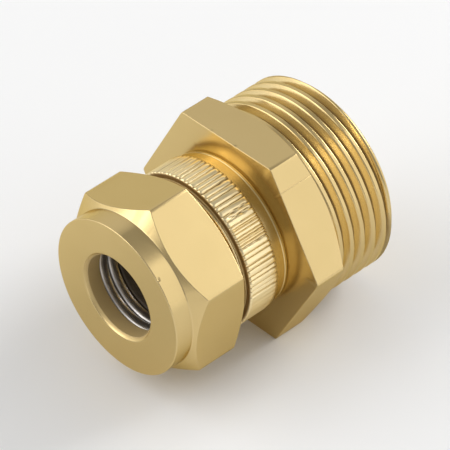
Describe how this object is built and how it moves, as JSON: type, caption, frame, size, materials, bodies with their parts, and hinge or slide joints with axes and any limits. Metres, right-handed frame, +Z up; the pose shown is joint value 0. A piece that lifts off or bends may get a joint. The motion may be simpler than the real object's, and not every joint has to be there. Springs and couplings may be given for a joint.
{
  "type": "cable gland",
  "caption": "Brass cable gland with a hexagonal cap nut, a knurled sleeve and a hexagonal body with an external entry thread, holding rubber seals, washers and an armour cone.",
  "frame": {"origin": "on the gland's axis, in the plane of the body's seat, where the entry thread starts", "axes": "+X along the axis out of the entry thread, +Z up with the body's hexagon resting on a flat"},
  "size_m": [0.0339, 0.0312, 0.027],
  "materials": {
    "brass": "bright machined brass, satin",
    "brass_inner": "machined brass, duller inside the gland",
    "plated_steel": "zinc plated steel, bright",
    "rubber": "black moulded rubber, matt"
  },
  "bodies": {
    "body_group": {"entry_body": "brass", "inner_seal": "rubber", "inner_skid_washer": "plated_steel", "armour_cone": "brass_inner"},
    "clamp_group": {"clamp_ring": "brass_inner"},
    "sleeve_group": {"knurled_sleeve": "brass", "sleeve_o_ring": "rubber"},
    "washer_group": {"outer_seal": "rubber", "rear_skid_washer": "plated_steel", "front_skid_washer": "plated_steel"},
    "nut_group": {"cap_nut": "brass"}
  },
  "joints": [
    {"name": "sleeve_travel", "type": "slide", "parent": "body_group", "child": "clamp_group", "axis": [-1, 0, 0], "range_m": [0, 0.005]},
    {"name": "sleeve_turn", "type": "hinge", "parent": "clamp_group", "child": "sleeve_group", "pos_m": [0, 0, 0], "axis": [-1, 0, 0], "range_deg": [0, 1800]},
    {"name": "nut_travel", "type": "slide", "parent": "sleeve_group", "child": "washer_group", "axis": [-1, 0, 0], "range_m": [-0.0008, 0.0045]},
    {"name": "nut_turn", "type": "hinge", "parent": "washer_group", "child": "nut_group", "pos_m": [0, 0, 0], "axis": [-1, 0, 0], "range_deg": [-288, 1620]}
  ],
  "couplings": [
    {"joint": "sleeve_travel", "follows": "sleeve_turn", "m_per_rad": 0.00015915},
    {"joint": "nut_travel", "follows": "nut_turn", "m_per_rad": 0.00015915}
  ]
}
